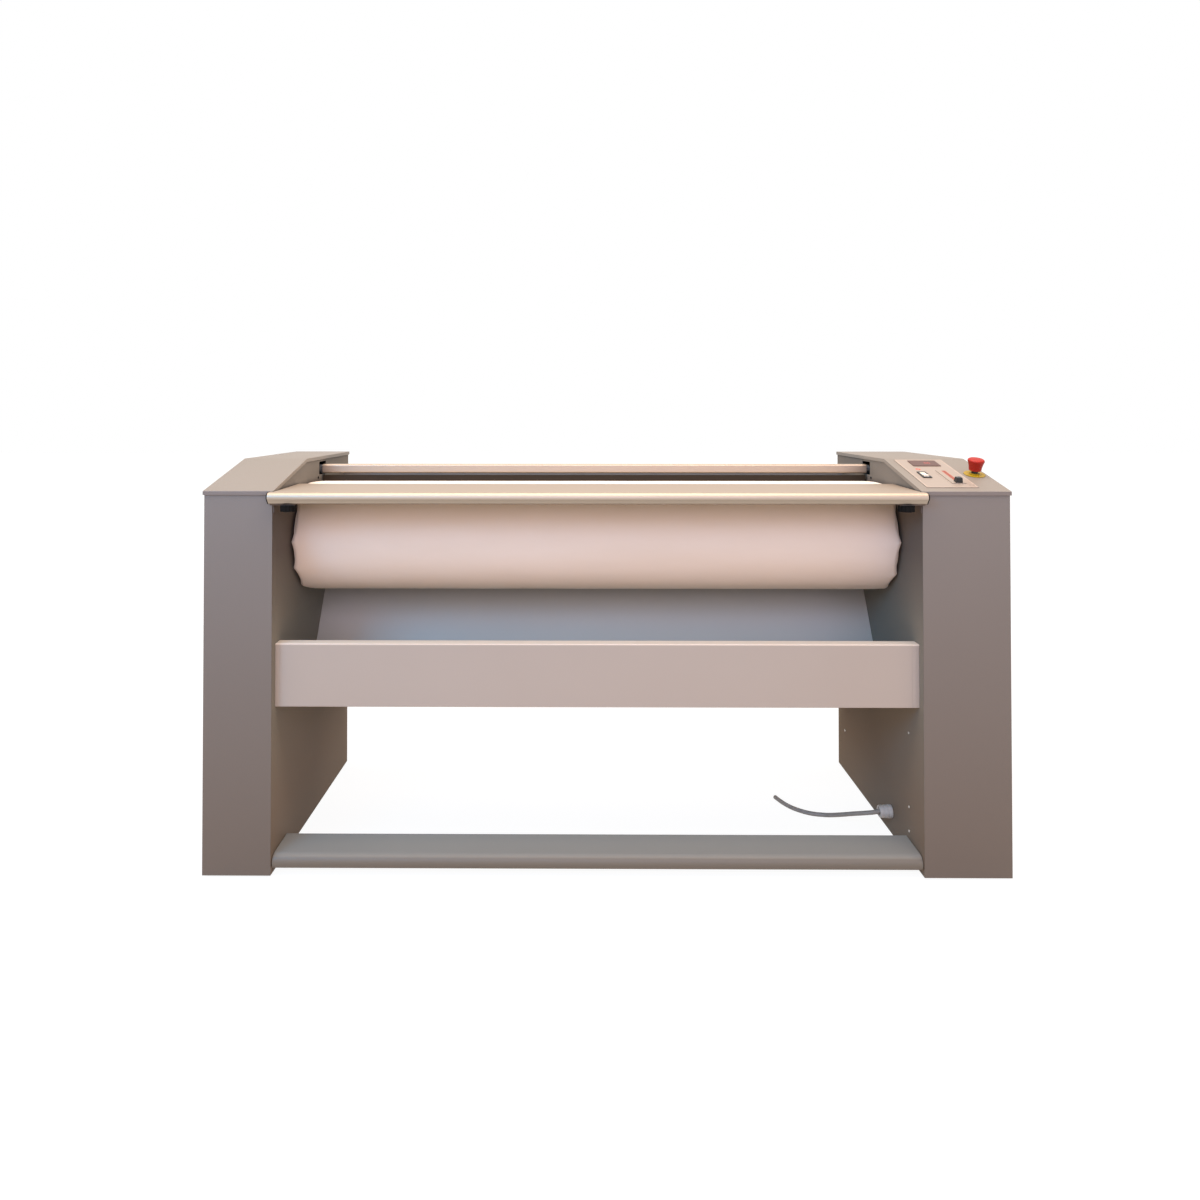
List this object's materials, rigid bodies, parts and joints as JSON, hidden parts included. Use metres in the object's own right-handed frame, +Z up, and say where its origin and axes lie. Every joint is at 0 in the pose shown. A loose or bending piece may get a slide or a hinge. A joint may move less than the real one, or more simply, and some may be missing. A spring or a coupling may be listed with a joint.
{
  "type": "flatwork ironer",
  "caption": "Free-standing flatwork ironer with a padded roll, heated chest, feed table, linen chute, foot bar and sloping control lid.",
  "frame": {"origin": "on the floor, under the centre of the machine's box without the supply lead", "axes": "+X along the roll towards the controls, +Y from the feeding side to the back, +Z up"},
  "size_m": [2.006, 0.686, 1.0342],
  "materials": {
    "wall_paint": "fine-textured powder coat",
    "housing_paint": "fine-textured powder coat",
    "lid_paint": "fine-textured powder coat",
    "frame_steel": "primer grey",
    "foot_rubber": "matt black",
    "bright_steel": "turned",
    "roll_cotton": "plain cotton duck",
    "cast_housing": "painted casting",
    "belt_rubber": "matt",
    "chest_steel": "polished",
    "insulation_wool": "pressed wool",
    "casing_paint": "black heat-resistant enamel",
    "satin_aluminium": "satin anodised",
    "black_plastic": "fine grain",
    "chute_paint": "satin",
    "foot_bar_paint": "satin",
    "pale_plastic": "moulded",
    "panel_film": "satin film",
    "display_red": "gloss",
    "estop_yellow": "gloss",
    "estop_red": "gloss",
    "lead_sheath": "matt sheath",
    "dark_steel": "blackened"
  },
  "bodies": {
    "root": {"left_inner_wall": "wall_paint", "right_inner_wall": "wall_paint", "left_outer_cover": "housing_paint", "right_outer_cover": "housing_paint", "left_top_cover": "lid_paint", "right_top_cover": "lid_paint", "housing_rear_panels": "housing_paint", "left_frame": "frame_steel", "right_frame": "frame_steel", "cross_beams": "frame_steel", "rear_cover": "housing_paint", "levelling_feet": "foot_rubber", "roll_bearings": "cast_housing", "drive_belt": "belt_rubber", "gear_motor": "cast_housing", "motor_bracket": "frame_steel", "pivot_pins": "bright_steel", "closing_actuators": "cast_housing", "safety_switches": "black_plastic", "feed_table": "satin_aluminium", "table_end_caps": "black_plastic", "table_brackets": "wall_paint", "tray_beam": "lid_paint", "linen_chute": "chute_paint", "foot_bar_bushes": "pale_plastic", "foot_bar_springs": "bright_steel", "control_plate": "panel_film", "display_window": "display_red", "rocker_bezel": "black_plastic", "slider_bezel": "panel_film", "estop_base": "estop_yellow", "electrical_box": "pale_plastic", "cable_gland": "pale_plastic", "supply_lead": "lead_sheath", "wall_screws": "dark_steel"},
    "roll": {"roll_drum": "bright_steel", "roll_end_plates": "frame_steel", "roll_shafts": "bright_steel", "roll_padding": "roll_cotton", "roll_cover": "roll_cotton", "roll_pulley": "cast_housing"},
    "motor_pulley": {"motor_pulley": "cast_housing"},
    "chest": {"heated_chest": "chest_steel", "heating_elements": "bright_steel", "chest_insulation": "insulation_wool", "chest_casing": "casing_paint", "left_chest_arm": "frame_steel", "right_chest_arm": "frame_steel"},
    "left_closing_rod": {"left_closing_rod": "bright_steel"},
    "right_closing_rod": {"right_closing_rod": "bright_steel"},
    "guard": {"finger_guard": "satin_aluminium", "guard_arms": "frame_steel"},
    "foot_bar": {"foot_bar": "foot_bar_paint"},
    "rocker": {"rocker_button": "pale_plastic"},
    "slider": {"slider_knob": "black_plastic"},
    "estop_stem": {"estop_stem": "black_plastic"},
    "estop_head": {"estop_head": "estop_red"},
    "left_table_knob": {"left_table_knob": "black_plastic"},
    "right_table_knob": {"right_table_knob": "black_plastic"}
  },
  "joints": [
    {"name": "roll_spin", "type": "hinge", "parent": "root", "child": "roll", "pos_m": [-0.023, -0.044, 0.809], "axis": [-1, 0, 0], "continuous": true},
    {"name": "motor_pulley_spin", "type": "hinge", "parent": "root", "child": "motor_pulley", "pos_m": [0.88, 0.09, 0.25], "axis": [-1, 0, 0], "continuous": true},
    {"name": "chest_swing", "type": "hinge", "parent": "root", "child": "chest", "pos_m": [-0.023, -0.024, 0.45], "axis": [1, 0, 0], "range_deg": [0, 3]},
    {"name": "left_closing_slide", "type": "slide", "parent": "root", "child": "left_closing_rod", "axis": [0, -1, 0], "range_m": [0, 0.01]},
    {"name": "right_closing_slide", "type": "slide", "parent": "root", "child": "right_closing_rod", "axis": [0, -1, 0], "range_m": [0, 0.01]},
    {"name": "guard_tilt", "type": "hinge", "parent": "root", "child": "guard", "pos_m": [-0.023, 0.21, 0.93], "axis": [-1, 0, 0], "range_deg": [0, 4.5]},
    {"name": "foot_bar_press", "type": "hinge", "parent": "root", "child": "foot_bar", "pos_m": [-0.023, -0.23, 0.028], "axis": [1, 0, 0], "range_deg": [0, 8], "stiffness_Nm_per_rad": 20, "springref_deg": -14.32},
    {"name": "rocker_rock", "type": "hinge", "parent": "root", "child": "rocker", "pos_m": [0.8353, -0.201, 0.98648], "axis": [1, 0, 0], "range_deg": [0, 12]},
    {"name": "slider_move", "type": "slide", "parent": "root", "child": "slider", "axis": [0, 0.9653, 0.2611], "range_m": [0, 0.082]},
    {"name": "estop_press", "type": "slide", "parent": "root", "child": "estop_stem", "axis": [0, 0.2611, -0.9653], "range_m": [0, 0.005], "stiffness_N_per_m": 800, "springref_m": -0.004},
    {"name": "estop_twist", "type": "hinge", "parent": "estop_stem", "child": "estop_head", "pos_m": [0.9703, -0.192, 0.98892], "axis": [0, -0.2611, 0.9653], "range_deg": [0, 45], "stiffness_Nm_per_rad": 0.05, "springref_deg": -11.46},
    {"name": "left_table_knob_turn", "type": "hinge", "parent": "root", "child": "left_table_knob", "pos_m": [-0.786, -0.318, 0.915], "axis": [0, 0, 1], "range_deg": [0, 180]},
    {"name": "right_table_knob_turn", "type": "hinge", "parent": "root", "child": "right_table_knob", "pos_m": [0.74, -0.318, 0.915], "axis": [0, 0, 1], "range_deg": [0, 180]}
  ],
  "couplings": [
    {"joint": "motor_pulley_spin", "follows": "roll_spin", "ratio": 2.8},
    {"joint": "left_closing_slide", "follows": "chest_swing", "m_per_rad": 0.19},
    {"joint": "right_closing_slide", "follows": "chest_swing", "m_per_rad": 0.19}
  ]
}
